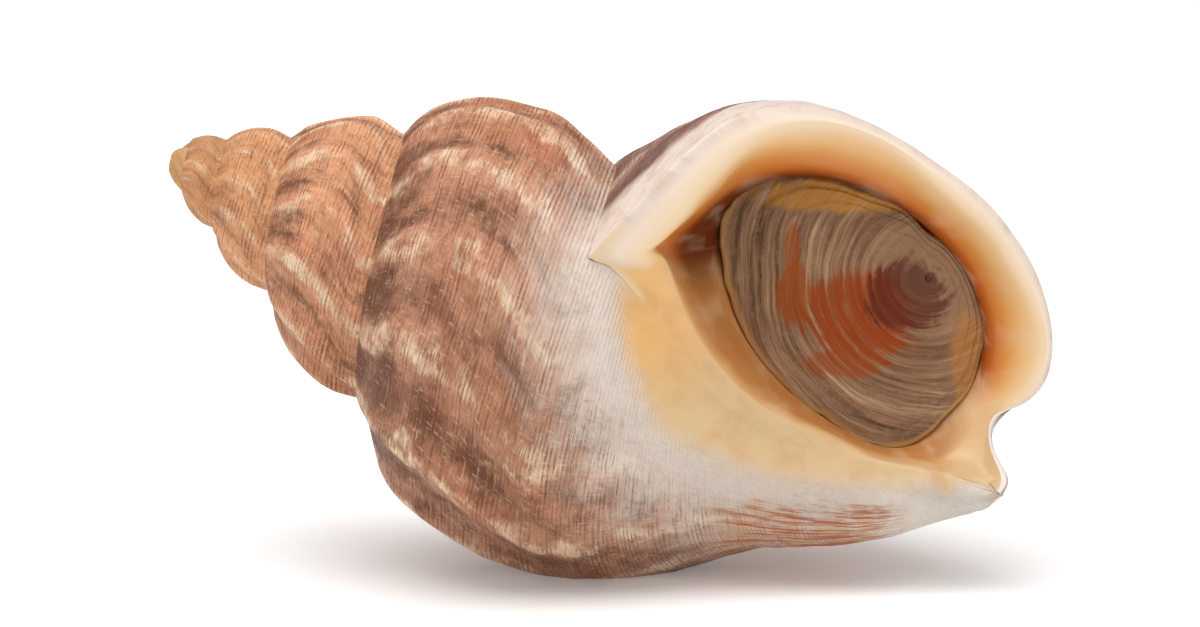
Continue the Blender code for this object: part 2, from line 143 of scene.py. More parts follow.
# Aperture: three rings from the crest of the lip into the throat as x, y, depth.
RIM_CREST = [
    (640, 256, 233), (652, 243, 233), (680, 214, 232), (706, 182, 226), (757, 139, 206), (819, 126, 184),
    (885, 144, 176), (952, 197, 176), (990, 233, 177), (1011, 266, 178), (1027, 294, 177), (1038, 322, 174),
    (1041, 348, 170), (1033, 376, 164), (1022, 391, 156), (1009, 400, 148), (997, 411, 138),
    (990, 424, 130), (985, 440, 126), (984, 458, 130), (985, 470, 140), (965, 470, 142), (935, 466, 146),
    (905, 466, 149), (876, 462, 153), (846, 452, 160), (815, 440, 168), (784, 428, 178), (750, 408, 188),
    (718, 380, 199), (692, 347, 209), (671, 307, 219), (655, 265, 227),
]
INNER_EDGE = [
    (662, 245, 200), (676, 232, 203), (693, 219, 198), (714, 201, 190), (748, 172, 172), (812, 164, 150),
    (872, 182, 140), (925, 212, 136), (952, 238, 134), (972, 264, 133), (986, 292, 133), (993, 320, 132),
    (996, 346, 130), (992, 372, 128), (984, 392, 125), (975, 408, 120), (968, 421, 116), (962, 431, 113),
    (955, 439, 112), (948, 446, 114), (940, 453, 118), (930, 457, 124), (915, 458, 130), (897, 457, 136),
    (875, 453, 141), (850, 441, 148), (824, 427, 155), (797, 416, 163), (765, 398, 172), (735, 372, 183),
    (709, 339, 195), (689, 303, 204), (672, 265, 211),
]
WALL = [
    (682, 249, 138), (692, 238, 146), (704, 224, 150), (719, 206, 150), (752, 180, 128), (812, 171, 118),
    (874, 190, 114), (922, 222, 112), (944, 240, 111), (962, 262, 110), (976, 288, 110), (985, 318, 110),
    (987, 343, 110), (984, 366, 109), (976, 384, 108), (967, 398, 107), (958, 408, 106), (951, 416, 105),
    (944, 423, 105), (938, 430, 105), (930, 436, 106), (922, 441, 108), (911, 446, 110), (898, 449, 112),
    (880, 450, 114), (856, 440, 118), (832, 425, 124), (806, 409, 130), (777, 389, 136), (750, 364, 142),
    (726, 335, 148), (706, 302, 152), (692, 268, 148),
]
# The shelf behind the plate: how far outside its edge and how deep each ring of it lies.
SHELF = [(4.5, 109.0), (-9.0, 108.0)]
PLATE_LEVEL = 124.0
# How finely the plate's edge is sampled, and how far each place is drawn to the nearest sample.
EDGE_SAMPLES = 720
EDGE_REACH = 6
EDGE_START = 5
EDGE_PULL = 0.72
# Section of the throat as radius and height on the plane at THROAT_ANGLE.
THROAT_ANGLE = -25.0
THROAT = [
    (188, 500), (200, 503), (214, 508), (230, 520), (250, 548), (268, 605), (272, 665), (260, 722),
    (246, 757), (226, 790), (204, 817), (180, 838), (156, 852), (134, 860), (116, 862), (101, 860),
    (89, 855), (80, 848), (73, 840), (68, 832), (64, 823), (61, 813), (59, 802), (57, 790), (56, 775),
    (56, 755), (57, 730), (59, 702), (63, 672), (71, 640), (85, 608), (108, 572), (145, 530),
]
# Deeper sections of the throat as angle and how far each draws in.
DEEPER = [(-60.0, 1.0), (-90.0, 0.82), (-112.0, 0.48)]
THROAT_END = -120.0

# Operculum: outline, growing point, depth of its front, thickness and how far it leans.
OPERCULUM_OUTLINE = [
    (725, 246), (725, 223), (731, 210), (744, 196), (767, 183), (796, 177), (831, 181), (861, 192),
    (901, 208), (926, 235), (945, 249), (964, 275), (977, 307), (981, 332), (978, 353), (968, 386),
    (943, 414), (930, 428), (909, 441), (880, 445), (863, 439), (832, 418), (805, 401), (780, 376),
    (759, 351), (742, 319), (731, 284),
]
OPERCULUM_NUCLEUS = (930, 278)
OPERCULUM_DEPTH = 119.0
OPERCULUM_THICKNESS = 7.0
OPERCULUM_EDGE = 4.2
OPERCULUM_MIDDLE = 860.0
OPERCULUM_LEAN = 0.02


def ease(low, high, value):
    """Smooth passage from 0 to 1 as the value goes from low to high."""
    share = np.clip((value - low) / (high - low), 0.0, 1.0)
    return share * share * (3.0 - 2.0 * share)


def fade(low, high, value):
    return 1 - ease(low, high, value)


def spline(knots, values, wanted):
    """A smooth curve through the values, whose slopes follow the neighbouring knots."""
    knots = np.asarray(knots, float)
    values = np.asarray(values, float)
    gaps = np.diff(knots).reshape((-1,) + (1,) * (values.ndim - 1))
    rises = np.diff(values, axis=0) / gaps
    inner = (rises[:-1] * gaps[1:] + rises[1:] * gaps[:-1]) / (gaps[:-1] + gaps[1:])
    slopes = np.concatenate([rises[:1], inner, rises[-1:]])
    wanted = np.asarray(wanted, float)
    place = np.clip(np.searchsorted(knots, wanted, side="right") - 1, 0, len(gaps) - 1)
    gap = gaps[place]
    share = (wanted - knots[place]).reshape(gap.shape) / gap
    return (
        (2 * share**3 - 3 * share**2 + 1) * values[place]
        + (share**3 - 2 * share**2 + share) * gap * slopes[place]
        + (3 * share**2 - 2 * share**3) * values[place + 1]
        + (share**3 - share**2) * gap * slopes[place + 1]
    )


def front_view(angle, radius, height):
    """Front-view x, y and depth of points given round the shell axis."""
    side = radius * np.cos(angle)
    forward = radius * np.sin(angle)
    along = height * math.cos(AXIS_LEAN) - forward * math.sin(AXIS_LEAN)
    depth = height * math.sin(AXIS_LEAN) + forward * math.cos(AXIS_LEAN)
    x = AXIS_START[0] + along * math.cos(AXIS_SLOPE) + side * math.sin(AXIS_SLOPE)
    y = AXIS_START[1] + along * math.sin(AXIS_SLOPE) - side * math.cos(AXIS_SLOPE)
    return np.stack([x, y, depth], axis=-1)


def suture(turn):
    """Radius and height of the line where a whorl meets the one before."""
    scale = EXPANSION**turn
    height = SUTURE_HEIGHT * scale
    rounded = 0.5 * (height + APEX_HEIGHT + np.sqrt((height - APEX_HEIGHT) ** 2 + APEX_ROUNDING**2))
    radius = SUTURE_RADIUS * scale * ease(FIRST_TURN - 0.1, FIRST_TURN + 1.0, turn)
    return np.stack([radius, rounded], axis=-1) + spline(LATE_TURNS, LATE_SHIFTS, turn)


def whorl_profile(turn, levels):
    """Radius and height from the suture down to the next suture, one row of points a turn value."""
    blend = ease(*PROFILE_CHANGE, turn)[:, None, None]
    shape = (1.0 - blend) * np.array(SPIRE_PROFILE) + blend * np.array(BODY_PROFILE)
    shape *= (EXPANSION**turn)[:, None, None]
    top = suture(turn)[:, None]
    following = suture(turn + 1.0)[:, None]
    fresh = ease(FIRST_TURN, FIRST_TURN + 1.3, turn)[:, None, None]
    drop = shape[:, :, 1:] - shape[:, :1, 1:]
    share = drop / (following[:, :, 1:] - shape[:, :1, 1:])
    dome = top + (following - top) * np.concatenate([np.sqrt(np.clip(share, 0, 1)), share], axis=2)
    shape = fresh * shape + (1 - fresh) * dome
    rows = np.concatenate([top, shape[:, 1:], following], axis=1)
    found = spline(np.arange(SUTURE_LEVEL + 1), np.swapaxes(rows, 0, 1), np.array(levels))
    return found[..., 0].T, found[..., 1].T


def bowed_turn(turn, share):
    """The turn at which the growth line through a place crosses the shoulder."""
    return turn - FOLD_BOW * ((np.clip(share, 0.0, 0.9) - FOLD_PEAK) / FOLD_PEAK) ** 2


def fold_wave(turn, share):
    """From 0 in a trough to 1 on the crest of a fold."""
    wander = 0.10 * cloud(turn * 7.3, 2.1 * share, 41)
    phase = bowed_turn(turn, share) * FOLDS - FOLD_PHASE + FOLD_SLANT * share + wander
    return (0.5 + 0.5 * np.cos(2 * math.pi * phase)) ** FOLD_SHARPNESS


def fold_rise(turn, share):
    """How far the rounded folds along the axis lift the wall, as a share of the radius."""
    band = ease(*FOLD_TOP, share) * fade(*FOLD_FOOT, share)
    young = ease(*FOLD_START, turn)
    old = fade(*FOLD_END, turn)
    uneven = 1 + 0.5 * cloud(turn * 5.1, 2.3 * share, 43)
    return FOLD_HEIGHT * (fold_wave(turn, share) - FOLD_MEAN) * band * young * old * uneven


def turn_angle(turn):
    return 2 * math.pi * (turn - ZERO_TURN)


def body_stations():
    left = [(LEFT_ANGLE, *row) for row in LEFT_SIDE]
    back = [(BACK_ANGLE, *row) for row in BACK_SIDE]
    return [np.array(rows + [CANAL_TIP], float) for rows in (PARIETAL, left, back, LIP_MARGIN)]


def last_whorl(turns, levels):
    """Angle, radius and height over the last whorl, one row of points a turn value."""
    stations = body_stations()
    left, back, margin = stations[1:]
    middle = np.empty_like(back)
    middle[:, 0] = 0.5 * (back[:, 0] + margin[:, 0])
    share = (middle[:, :1] - BACK_ANGLE) / (margin[:, :1] - BACK_ANGLE + MARGIN_LAG)
    middle[:, 1:] = back[:, 1:] + (margin[:, 1:] - back[:, 1:]) * share**MIDDLE_EASE
    middle[: len(UPPER_SIDE), 1:] = UPPER_SIDE
    values = np.stack([stations[0], left, back, middle, margin])
    values[:, -1] = CANAL_TIP
    fine = spline(np.arange(TIP_LEVEL + 1), np.swapaxes(values, 0, 1), np.array(levels))
    found = spline(STATION_TURNS, np.swapaxes(fine, 0, 1), turns)
    return np.radians(found[..., 0]), found[..., 1], found[..., 2]


def folded(turns, angle, radius, height):
    """Front-view points of whorl rows, lifted by the folds as far down as the next suture."""
    upper = radius[:, : UPPER_ROWS + 1]
    girth = girth_of(np.stack([upper, height[:, : UPPER_ROWS + 1]], axis=-1))
    upper *= 1 + fold_rise(turns[:, None], girth / girth[:, -1:])
    return front_view(angle, radius, height)


def throat_section(degrees, drawn_in):
    """The throat's outline on a plane through the axis, scaled back along the growth spiral."""
    section = np.array(THROAT, float) * EXPANSION ** ((degrees - THROAT_ANGLE) / 360)
    centre = section.mean(axis=0)
    section = centre + (section - centre) * drawn_in
    angle = np.full(len(section), math.radians(degrees))
    return front_view(angle, section[:, 0], section[:, 1])


def plate_edge(wall, outside, depth):
    """A ring level with the plate's edge, each of its points opposite one of the wall."""
    outline = np.array(OPERCULUM_OUTLINE, float)
    closed = np.vstack([outline, outline[:1]])
    along = np.concatenate([[0.0], np.cumsum(np.hypot(*np.diff(closed, axis=0).T))])
    places = np.linspace(0.0, along[-1], EDGE_SAMPLES + 1)[:-1]
    dense = np.column_stack([np.interp(places, along, closed[:, axis]) for axis in (0, 1)])
    ahead = np.roll(dense, -EDGE_REACH, axis=0) - np.roll(dense, EDGE_REACH, axis=0)
    outward = np.column_stack([ahead[:, 1], -ahead[:, 0]])
    outward /= np.linalg.norm(outward, axis=1)[:, None]
    apart = np.linalg.norm(dense[None] - wall[:, None, :2], axis=2)
    nearest = places[apart.argmin(axis=1)]
    nearest = np.unwrap(nearest - nearest[EDGE_START], period=along[-1]) + nearest[EDGE_START]
    even = nearest.mean() + along[-1] * (np.arange(len(wall)) - (len(wall) - 1) / 2) / len(wall)
    chosen = np.sort(EDGE_PULL * nearest + (1 - EDGE_PULL) * even) % along[-1]
    index = np.round(chosen / along[-1] * EDGE_SAMPLES).astype(int) % EDGE_SAMPLES
    ring = dense[index] + outward[index] * outside
    return np.column_stack([ring, np.full(len(ring), depth)])


def aperture_rings(levels):
    rings = [np.array(ring, float) for ring in (RIM_CREST, INNER_EDGE, WALL)]
    rings[2][:, 2] = np.maximum(rings[2][:, 2], PLATE_LEVEL)
    rings += [plate_edge(rings[2], outside, depth) for outside, depth in SHELF]
    rings.append(throat_section(THROAT_ANGLE, 1.0))
    rings += [throat_section(degrees, drawn_in) for degrees, drawn_in in DEEPER]
    count = len(RIM_CREST)
    around = np.arange(-3, count + 3)
    return [spline(around, ring[around % count], np.array(levels)) for ring in rings]


def to_world(points):
    """World metres from front-view units, before the shell is set down."""
    x = points[..., 0]
    up = -points[..., 1]
    depth = points[..., 2]
    back = up * math.sin(VIEW_TILT) - depth * math.cos(VIEW_TILT)
    high = up * math.cos(VIEW_TILT) + depth * math.sin(VIEW_TILT)
    return UNIT * np.stack([x, back, high], axis=-1)


# Fine grid of the visible surface. The last whorl has three columns to each one of the spire.
COLUMNS_PER_TURN = 192
SPIRE_COLUMNS = 780
BODY_FINER = 3
UPPER_ROWS = 60
LOWER_ROWS = 90
TIP_ROWS = 12
SEAM_SPREAD = 0.12
PHANTOM_COLUMNS = 6
PHANTOM_SHARE = 0.4
RING_STEPS = [14, 14, 14, 4, 4, 10, 6, 5, 4]

# Fine relief in drawing units.
DENT_HEIGHT = 2.4
GROWTH_HEIGHT = 0.9

# The rounded end of the canal: the level it starts at and how far each line runs on before it turns.
TIP_START = TIP_LEVEL - 1
TIP_BULGE = 0.85
TIP_SHIFT = np.array([-10.0, 6.0, 0.0])
# Where the canal's end is pushed, how far around, and how far right and down.
LOBE_PUSHES = [((1001, 477), 14, (6, 0)), ((1005, 500), 8, (-3, -2))]
# Below this depth the throat keeps this share of its depth, clear of the wall behind it.
THROAT_LEVEL = 85.0
THROAT_SHARE = 0.55
# How often and how far the callus and the mouth's wall are drawn smooth.
RELAX_ROUNDS = 150
RELAX_PULL = 0.8
# From the front view's corner to the shell's place on the floor, and how far in from the box, in metres.
SHIFT = np.array([-0.06083189, 0.01088783, 0.05576181])
BOX_MARGIN = 2e-6

# Outline of the glazed callus in the front view, from the lip down to the canal and back.
CALLUS = [
    (614, 262), (609, 300), (613, 334), (623, 373), (636, 407), (646, 432), (655, 442), (697, 463),
    (743, 482), (781, 491), (848, 500), (915, 500), (953, 491), (975, 497), (992, 507), (1012, 508),
    (1020, 440), (960, 420), (860, 400), (780, 330), (720, 240), (650, 250),
]


def lattice(x, y, seed):
    """A fixed value from 0 to 1 for each pair of whole numbers."""
    mixed = (x.astype(np.int64) * 374761393 + y.astype(np.int64) * 668265263 + seed * 974634777) & 0x7FFFFFFF
    mixed = ((mixed ^ (mixed >> 13)) * 1274126177) & 0x7FFFFFFF
    return ((mixed ^ (mixed >> 16)) & 0xFFFF) / 65535.0


def cloud(x, y, seed):
    """Smooth noise from -1 to 1 over a plane."""
    left = np.floor(x)
    low = np.floor(y)
    right_share = (x - left) ** 2 * (3 - 2 * (x - left))
    high_share = (y - low) ** 2 * (3 - 2 * (y - low))
    bottom = lattice(left, low, seed) * (1 - right_share) + lattice(left + 1, low, seed) * right_share
    top = lattice(left, low + 1, seed) * (1 - right_share) + lattice(left + 1, low + 1, seed) * right_share
    return 2 * (bottom * (1 - high_share) + top * high_share) - 1


def distance_outside(points, outline):
    """Distance of front-view points from an outline, negative inside it."""
    corners = np.array(outline, float)
    flat = points[..., :2].reshape(-1, 2)
    nearest = np.full(len(flat), 1e9)
    inside = np.zeros(len(flat), bool)
    for start, end in zip(corners, np.roll(corners, -1, axis=0)):
        along = end - start
        share = np.clip(((flat - start) @ along) / (along @ along), 0, 1)
        nearest = np.minimum(nearest, np.linalg.norm(flat - start - share[:, None] * along, axis=1))
        crosses = (start[1] > flat[:, 1]) != (end[1] > flat[:, 1])
        slope = along[0] / along[1] if along[1] else 0.0
        inside ^= crosses & (flat[:, 0] < start[0] + (flat[:, 1] - start[1]) * slope)
    return np.where(inside, -nearest, nearest).reshape(points.shape[:-1])


def relax(points, quads, weight, rounds):
    """Draws each point towards the mean of its neighbours, as far as its weight says."""
    ends = np.concatenate([quads[:, [0, 1]], quads[:, [1, 2]], quads[:, [2, 3]], quads[:, [3, 0]]])
    ends = ends[ends[:, 0] != ends[:, 1]]
    ends = ends[(weight[ends] > 0).any(axis=1)]
    first = np.concatenate([ends[:, 0], ends[:, 1]])
    second = np.concatenate([ends[:, 1], ends[:, 0]])
    count = np.maximum(np.bincount(first, minlength=len(points)), 1)[:, None]
    for _ in range(rounds):
        total = np.stack([np.bincount(first, points[second, axis], len(points)) for axis in range(3)], axis=1)
        points = points + RELAX_PULL * weight[:, None] * (total / count - points)
    return points


def girth_of(points):
    """Length from the suture along each column of a grid."""
    steps = np.linalg.norm(np.diff(points, axis=1), axis=2)
    return np.concatenate([np.zeros((len(points), 1)), np.cumsum(steps, axis=1)], axis=1)


def rounded_tip(points, levels):
    """Replaces the last level by smooth curves that meet at the tip of the canal."""
    start = int(np.searchsorted(levels, TIP_START))
    tip = points[:, -1] + TIP_SHIFT
    root = points[:, start]
    along = root - points[:, start - 3]
    reach = np.linalg.norm(tip - root, axis=1, keepdims=True)
    bend = root + along / np.linalg.norm(along, axis=1, keepdims=True) * reach * TIP_BULGE
    share = ((levels[start:] - levels[start]) / (TIP_LEVEL - levels[start]))[None, :, None]
    curve = (1 - share) ** 2 * root[:, None] + 2 * share * (1 - share) * bend[:, None]
    points[:, start:] = curve + share**2 * tip[:, None]
    return points


def spire_and_last_whorl():
    """The two whorl grids, drawn together where they meet, with their turns and levels."""
    upper = np.linspace(0, SUTURE_LEVEL, UPPER_ROWS + 1)
    lower = np.linspace(SUTURE_LEVEL, TIP_START, LOWER_ROWS - TIP_ROWS + 1)[1:]
    levels = np.concatenate([upper, lower, np.linspace(TIP_START, TIP_LEVEL, TIP_ROWS + 1)[1:]])
    turns = FIRST_TURN + np.arange(SPIRE_COLUMNS + 1) / COLUMNS_PER_TURN
    body_turns = BODY_TURN + np.arange(COLUMNS_PER_TURN * BODY_FINER + 1) / (COLUMNS_PER_TURN * BODY_FINER)
    radius, height = whorl_profile(turns, upper)
    spire = folded(turns, turn_angle(turns)[:, None], radius, height)
    body = rounded_tip(folded(body_turns, *last_whorl(body_turns, levels)), levels)

    corner = body[-1, 0] - body[0, UPPER_ROWS]
    near_start = fade(BODY_TURN, BODY_TURN + SEAM_SPREAD, body_turns)
    near_suture = fade(0.0, 1.5, np.abs(levels - SUTURE_LEVEL))
    body += near_start[:, None, None] * near_suture[None, :, None] * corner

    ending = ease(BODY_TURN - SEAM_SPREAD, BODY_TURN, turns)
    spire += ending[:, None, None] * (body[0, : UPPER_ROWS + 1] - spire[-1])
    following = np.concatenate([spire[COLUMNS_PER_TURN:, 0], body[BODY_FINER::BODY_FINER, 0]])
    spire += ease(5.5, 7.0, upper)[None, :, None] * (following - spire[:, -1])[:, None]
    return turns, body_turns, levels, spire, body


def mouth_rings(body, levels):
    """Closed rings from the lip into the throat, the first one where the outside stops."""
    inner = slice(-2, UPPER_ROWS, -1)
    places = np.concatenate([levels, 2 * TIP_LEVEL - levels[inner]])
    edge = np.concatenate([body[-1], body[0, inner]])
    before = np.concatenate([body[-1 - PHANTOM_COLUMNS], body[PHANTOM_COLUMNS, inner]])

    rings = aperture_rings(places)
    near_tip = fade(0.6, 2.5, np.abs(places - TIP_LEVEL))[:, None]
    closest = fade(0.0, 1.8, np.abs(places - TIP_LEVEL))[:, None]
    for number, ring in enumerate(rings[:2]):
        ring += closest * TIP_SHIFT * (2 - number) / 3
    before += near_tip * (edge - PHANTOM_SHARE * (rings[0] - edge) - before)
    stack = np.stack([before, edge] + rings)
    gaps = np.linalg.norm(np.diff(stack, axis=0), axis=2).mean(axis=1)
    knots = np.concatenate([[0.0], np.cumsum(gaps)])
    wanted = [knots[1]]
    for ring, count in enumerate(RING_STEPS, start=1):
        wanted += list(np.linspace(knots[ring], knots[ring + 1], count + 1)[1:])
    into = np.interp(wanted, knots[1:], np.arange(len(knots) - 1))
    rings = spline(knots, stack, np.array(wanted))
    below = np.minimum(rings[..., 2] - THROAT_LEVEL, 0.0)
    rings[..., 2] -= (1 - THROAT_SHARE) * below
    return places, into, rings


def set_down(points):
    """Where the shell's points lie once its belly is pressed flat on the floor."""
    world = to_world(points) + SHIFT
    depth = FOOT_DEPTH * UNIT
    above = world[..., 2] + depth / 2
    world[..., 2] = np.maximum(0.0, np.minimum(above - depth / 2, FOOT_SPREAD * (above - depth)))
    return world


def add_grid(points, grid):
    start = sum(len(kept) for kept in points)
    points.append(grid.reshape(-1, 3))
    return start + np.arange(grid.shape[0] * grid.shape[1]).reshape(grid.shape[:2])


def quads_of(index):
    return np.stack([index[:-1, :-1], index[1:, :-1], index[1:, 1:], index[:-1, 1:]], axis=-1).reshape(-1, 4)


def fan(centre, ends):
    """Triangles from one point to a row of others, as quads with a repeated corner."""
    ends = np.asarray(ends)
    first = np.full(len(ends) - 1, centre)
    return np.stack([first, ends[:-1], ends[1:], ends[1:]], axis=-1)


def corner_normals(points, quads):
    """Smooth normals at every point from the faces round it."""
    corners = points[quads]
    facing = np.cross(corners[:, 2] - corners[:, 0], corners[:, 3] - corners[:, 1])
    facing_fan = np.cross(corners[:, 1] - corners[:, 0], corners[:, 2] - corners[:, 0])
    facing = np.where((quads[:, 2] == quads[:, 3])[:, None], facing_fan, facing)
    total = np.zeros_like(points)
    for corner in range(4):
        np.add.at(total, quads[:, corner], facing)
    return total / np.maximum(np.linalg.norm(total, axis=1, keepdims=True), 1e-12)


def lay_shell():
    """Points, quads by piece, and the values that the finish reads at each point."""
    turns, body_turns, levels, spire, body = spire_and_last_whorl()
    places, into, mouth = mouth_rings(body, levels)
    points = []
    spire_index = add_grid(points, spire)
    body_index = add_grid(points, body)
    mouth_index = add_grid(points, mouth)
    spire_index[-1] = body_index[0, : UPPER_ROWS + 1]
    body_index[:, -1] = body_index[0, -1]
    mouth_index[0] = np.concatenate([body_index[-1], body_index[0, -2:UPPER_ROWS:-1]])
    end = add_grid(points, throat_section(THROAT_END, 0.0)[:1, None])[0, 0]
    around = np.concatenate([mouth_index, mouth_index[:, :1]], axis=1)
    quads = {
        "shell_spire": np.concatenate([
            quads_of(spire_index),
            fan(spire_index[0, 0], spire_index[COLUMNS_PER_TURN:0:-1, 0]),
            fan(spire_index[0, 0], spire_index[0, 1:]),
        ]),
        "shell_last_whorl": quads_of(body_index),
        "shell_mouth": np.concatenate([quads_of(around), fan(end, around[-1, ::-1])]),
    }
    values = surface_values(turns, body_turns, levels, spire, body, places, into, mouth)
    return np.concatenate(points), quads, values


def smooth_girths(turns, body_turns, levels):
    """Length from the suture on each column, as it would be without folds."""
    radius, height = whorl_profile(turns, levels[: UPPER_ROWS + 1])
    plain_spire = front_view(turn_angle(turns)[:, None], radius, height)
    start = int(np.searchsorted(levels, TIP_START))
    plain_body = front_view(*last_whorl(body_turns, levels[: start + 1]))
    body = girth_of(plain_body)
    steps = 48 * (levels[start + 1 :] - TIP_START)
    body = np.concatenate([body, body[:, -1:] + steps], axis=1)
    spire = girth_of(plain_spire)
    ending = ease(BODY_TURN - SEAM_SPREAD, BODY_TURN, turns)[:, None]
    return spire + ending * (body[0, : UPPER_ROWS + 1] - spire[-1]), body


def surface_values(turns, body_turns, levels, spire, body, places, into, mouth):
    """Turn, girth, fold, callus and mouth values, one number a point each, in the points' order."""
    spire_girth, body_girth = smooth_girths(turns, body_turns, levels)
    turns = turns[:, None]
    body_turns = body_turns[:, None]
    spire_share = spire_girth / spire_girth[:, -1:]
    body_share = body_girth / body_girth[:, UPPER_ROWS : UPPER_ROWS + 1]
    edge_girth = np.concatenate([body_girth[-1], body_girth[0, -2:UPPER_ROWS:-1]])
    inner = places > TIP_LEVEL
    edge_turn = np.where(inner, BODY_TURN, BODY_TURN + 1)
    shapes = (0 * spire_girth, 0 * body_girth, np.zeros(mouth.shape[:2]))
    lip = ease(32.0, 33.0, places) + fade(TIP_LEVEL - 3, TIP_LEVEL, places)
    grids = {
        "turn": (turns, body_turns, edge_turn),
        "girth": (spire_girth / 10, body_girth / 10, edge_girth / 10),
        "share": (spire_share, body_share, 1.5),
        "fold": (fold_wave(turns, spire_share), fold_wave(body_turns, body_share), 0),
        "line": (bowed_turn(turns, spire_share), bowed_turn(body_turns, body_share), edge_turn - 0.01),
        "callus": (
            np.where(turns > BODY_TURN - 0.35, distance_outside(spire, CALLUS), 200.0),
            np.where(body_turns < BODY_TURN + 0.45, distance_outside(body, CALLUS), 200.0),
            distance_outside(mouth, CALLUS),
        ),
        "into": (-1, -1, into[:, None]),
        "lip": (0, 0, lip),
        "place": (0, levels, places),
    }
    return {
        name: np.concatenate([np.ravel(part + shape) for part, shape in zip(parts, shapes)] + [[0.0]])
        for name, parts in grids.items()
    }


def rounded_lobe(points):
    """Gives the end of the canal its round outline."""
    for middle, reach, push in LOBE_PUSHES:
        apart = points[:, :2] - np.array(middle)
        near = np.exp(-(apart**2).sum(axis=1) / (2 * reach**2))
        points[:, :2] += near[:, None] * np.array(push)
    return points


def smoothed_share(values):
    """How strongly each point is smoothed: the callus, the lip and the wall of the mouth."""
    into = values["into"]
    callus = ease(6, -14, values["callus"]) * fade(1.0, 1.6, into)
    callus *= np.where(values["turn"] > BODY_TURN + 0.5, 0.0, 1.0)
    wall = ease(1.7, 2.3, into) * fade(3.3, 4.2, into) * 0.8
    seam = 0.3 * ease(0.0, 0.3, into) * fade(0.6, 0.9, into)
    tip = ease(17.0, 18.2, values["place"]) * fade(21.0, 22.5, values["place"])
    tip *= 0.3 * fade(0.0, 0.8, into)
    return np.maximum.reduce([np.where(into < 1.6, callus, 0.0), wall, seam, tip])


def relief(values):
    """How far the fine sculpture lifts each point off the smooth surface."""
    turn = values["turn"]
    girth = values["girth"] * 10
    outside = values["into"] < 0
    rough = ease(0, 30, values["callus"]) * ease(FIRST_TURN + 0.2, FIRST_TURN + 1.4, turn)
    rough *= ease(0, 12, girth) * np.where(turn < BODY_TURN, fade(0.9, 1.0, values["share"]), 1)
    rough *= fade(18.5, 19.6, values["place"])
    rough *= fade(BODY_TURN + 0.97, BODY_TURN + 1, turn)
    rough *= np.minimum(EXPANSION ** (turn - BODY_TURN + 0.5), 1.0)
    growth = cloud(turn * 95, girth / 55, 5) + 0.6 * cloud(turn * 210, girth / 40, 6)
    dents = cloud(turn * 13, girth / 45, 8) + 0.5 * cloud(turn * 29, girth / 22, 9)
    return np.where(outside, rough * (GROWTH_HEIGHT * growth + DENT_HEIGHT * dents) * 0.5, 0.0)


def new_object(name, data):
    made = bpy.data.objects.new(name, data)
    bpy.context.scene.collection.objects.link(made)
    return made


def make_piece(name, points, normals, quads, values, node):
    """One smooth mesh of some of the points, kept inside the solids' box."""
    used, index = np.unique(quads, return_inverse=True)
    index = index.reshape(quads.shape)
    faces = [row[:3] if row[2] == row[3] else row for row in index.tolist()]
    mesh = bpy.data.meshes.new(name)
    mesh.from_pydata(points[used].tolist(), [], faces)
    for label, numbers in values.items():
        made = mesh.attributes.new(label, "FLOAT", "POINT")
        made.data.foreach_set("value", np.ascontiguousarray(numbers[used], np.float32))
    mesh.polygons.foreach_set("use_smooth", np.ones(len(faces), bool))
    mesh.update()
    if normals is not None:
        mesh.normals_split_custom_set_from_vertices(normals[used].tolist())
    piece = new_object(name, mesh)
    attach(piece, "root")
    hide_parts(node)
    return piece


def inside_box(points):
    low, high = (np.array(corner) for corner in SOLID_BOX)
    return np.clip(points, low + BOX_MARGIN, high - BOX_MARGIN)


def build_shell_pieces():
    points, quads, values = lay_shell()
    every = np.concatenate(list(quads.values()))
    values["front_x"] = points[:, 0] / 100
    values["front_y"] = points[:, 1] / 100
    points = relax(points, every, smoothed_share(values), RELAX_ROUNDS)
    points = rounded_lobe(points)
    lifted = points + corner_normals(points, every) * relief(values)[:, None]
    world = inside_box(set_down(lifted))
    normals = corner_normals(world, every)
    return [
        make_piece(name, world, normals, faces, values, "shell")
        for name, faces in quads.items()
    ]


# Growth ridges of the plate: how many places round it and rings from nucleus to edge.
PLATE_PLACES = 360
PLATE_RINGS = 110
# How far the edge lies outside the drawn outline, and the rim outside the edge.
PLATE_REACH = 3.6
RIM_REACH = 1.5
# Height of the front face by share of the way from the nucleus to the edge.
PLATE_STEPS = [
    (0.0, -2.0), (0.12, 0.0), (0.33, 1.5), (0.53, 3.2), (0.55, 2.4), (0.72, 4.0), (0.745, 3.0),
    (0.855, 4.3), (0.885, 2.4), (0.945, 3.0), (0.965, 2.0), (1.0, 0.0),
]


